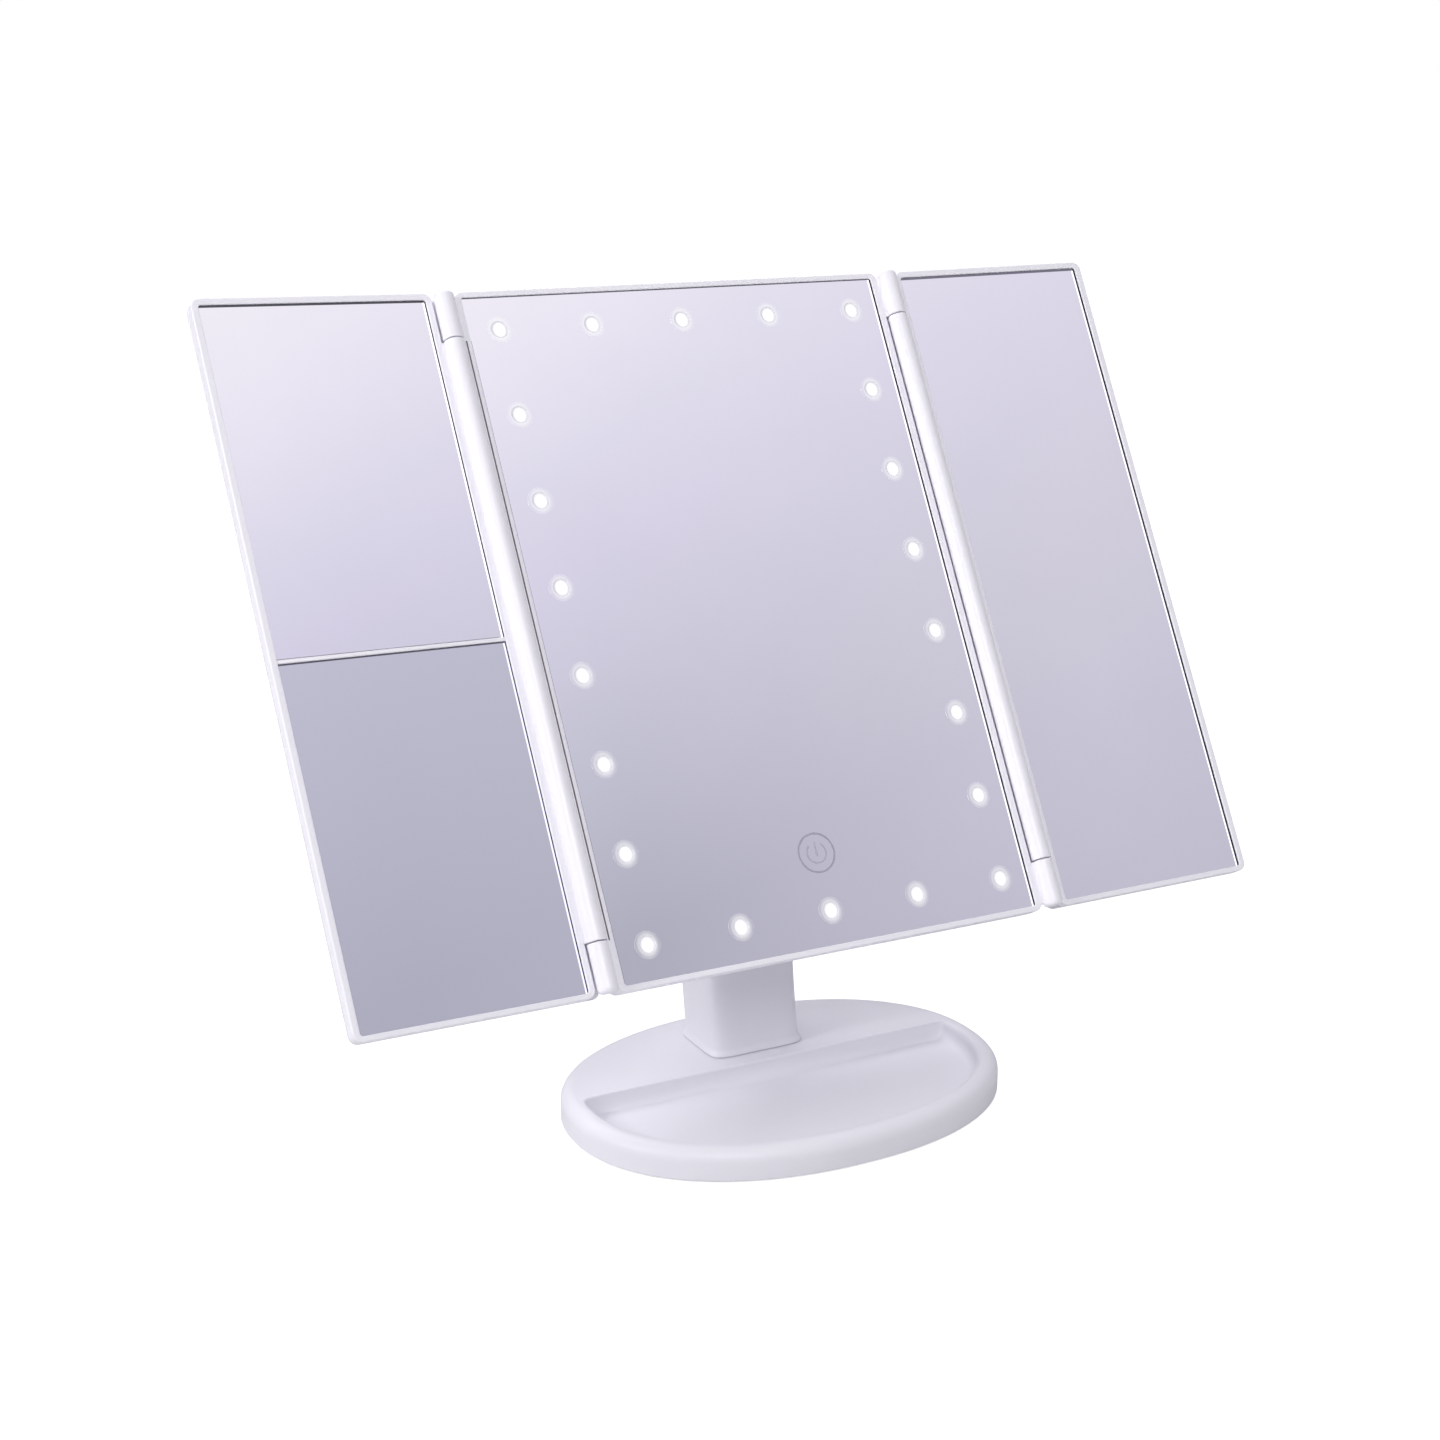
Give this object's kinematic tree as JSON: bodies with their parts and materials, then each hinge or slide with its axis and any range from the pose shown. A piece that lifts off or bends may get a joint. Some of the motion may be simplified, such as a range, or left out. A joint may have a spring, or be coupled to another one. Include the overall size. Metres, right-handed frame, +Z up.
{
  "type": "lighted makeup mirror",
  "caption": "Folding three-panel lighted vanity mirror, tilting on a necked oval base with a storage tray, battery powered.",
  "frame": {"origin": "on the table top, under the middle of the oval base", "axes": "+Z up, mirrors face -Y, +X to the right of a user who looks into the mirrors"},
  "size_m": [0.3375, 0.1517, 0.2759],
  "materials": {
    "base_plastic": "satin moulded plastic",
    "neck_plastic": "satin moulded plastic",
    "frame_plastic": "satin moulded plastic",
    "back_plastic": "satin moulded plastic",
    "wing_plastic": "satin moulded plastic",
    "door_plastic": "satin moulded plastic",
    "mirror_glass": "silvered glass",
    "light_plastic": "translucent white diffuser",
    "circuit_board": "printed board",
    "steel": "plain steel",
    "nickel": "nickel plate",
    "foot_rubber": "soft pale pad",
    "cell_jacket": "smooth jacket",
    "washer_plastic": "friction washer"
  },
  "bodies": {
    "base": {"base_shell": "base_plastic", "base_bottom_cover": "base_plastic", "ballast_plate": "steel", "neck_column": "neck_plastic", "base_foot_1": "foot_rubber", "base_foot_2": "foot_rubber", "base_foot_3": "foot_rubber", "base_foot_4": "foot_rubber", "base_screw_1": "steel", "base_screw_2": "steel", "base_screw_3": "steel", "base_screw_4": "steel", "neck_screw_1": "steel", "neck_screw_2": "steel"},
    "panel": {"center_front_frame": "frame_plastic", "center_mirror": "mirror_glass", "window_diffuser": "light_plastic", "led_board": "circuit_board", "touch_sensor_board": "circuit_board", "control_board": "circuit_board", "usb_socket": "nickel", "center_back_shell": "back_plastic", "tilt_axle": "steel", "friction_washer_left": "washer_plastic", "friction_washer_right": "washer_plastic", "axle_nut": "steel", "back_shell_screw_1": "steel", "back_shell_screw_2": "steel", "back_shell_screw_3": "steel", "back_shell_screw_4": "steel", "back_shell_screw_5": "steel", "back_shell_screw_6": "steel", "battery_contact_1": "nickel", "battery_contact_2": "nickel", "battery_contact_3": "nickel", "battery_contact_4": "nickel", "battery_contact_5": "nickel", "battery_1": "cell_jacket", "battery_2": "cell_jacket", "battery_3": "cell_jacket", "battery_4": "cell_jacket", "left_hinge_pin_bottom": "steel", "left_hinge_pin_top": "steel", "right_hinge_pin_bottom": "steel", "right_hinge_pin_top": "steel"},
    "battery_door": {"battery_door": "door_plastic"},
    "left_wing": {"left_wing_frame": "wing_plastic", "left_wing_back": "wing_plastic", "left_lower_mirror": "mirror_glass", "left_upper_mirror": "mirror_glass"},
    "right_wing": {"right_wing_frame": "wing_plastic", "right_wing_back": "wing_plastic", "right_mirror": "mirror_glass"}
  },
  "joints": [
    {"name": "panel_tilt", "type": "hinge", "parent": "base", "child": "panel", "pos_m": [0, 0.0377, 0.1685], "axis": [-1, 0, 0], "range_deg": [-26, 64]},
    {"name": "left_wing_fold", "type": "hinge", "parent": "panel", "child": "left_wing", "pos_m": [-0.0845, 0.02356, 0.177], "axis": [0, 0.515, 0.8572], "range_deg": [-3, 177]},
    {"name": "right_wing_fold", "type": "hinge", "parent": "panel", "child": "right_wing", "pos_m": [0.0845, 0.02356, 0.177], "axis": [0, -0.515, -0.8572], "range_deg": [-1, 179]},
    {"name": "battery_door_slide", "type": "slide", "parent": "panel", "child": "battery_door", "axis": [0, 0.515, 0.8572], "range_m": [0, 0.008]}
  ]
}
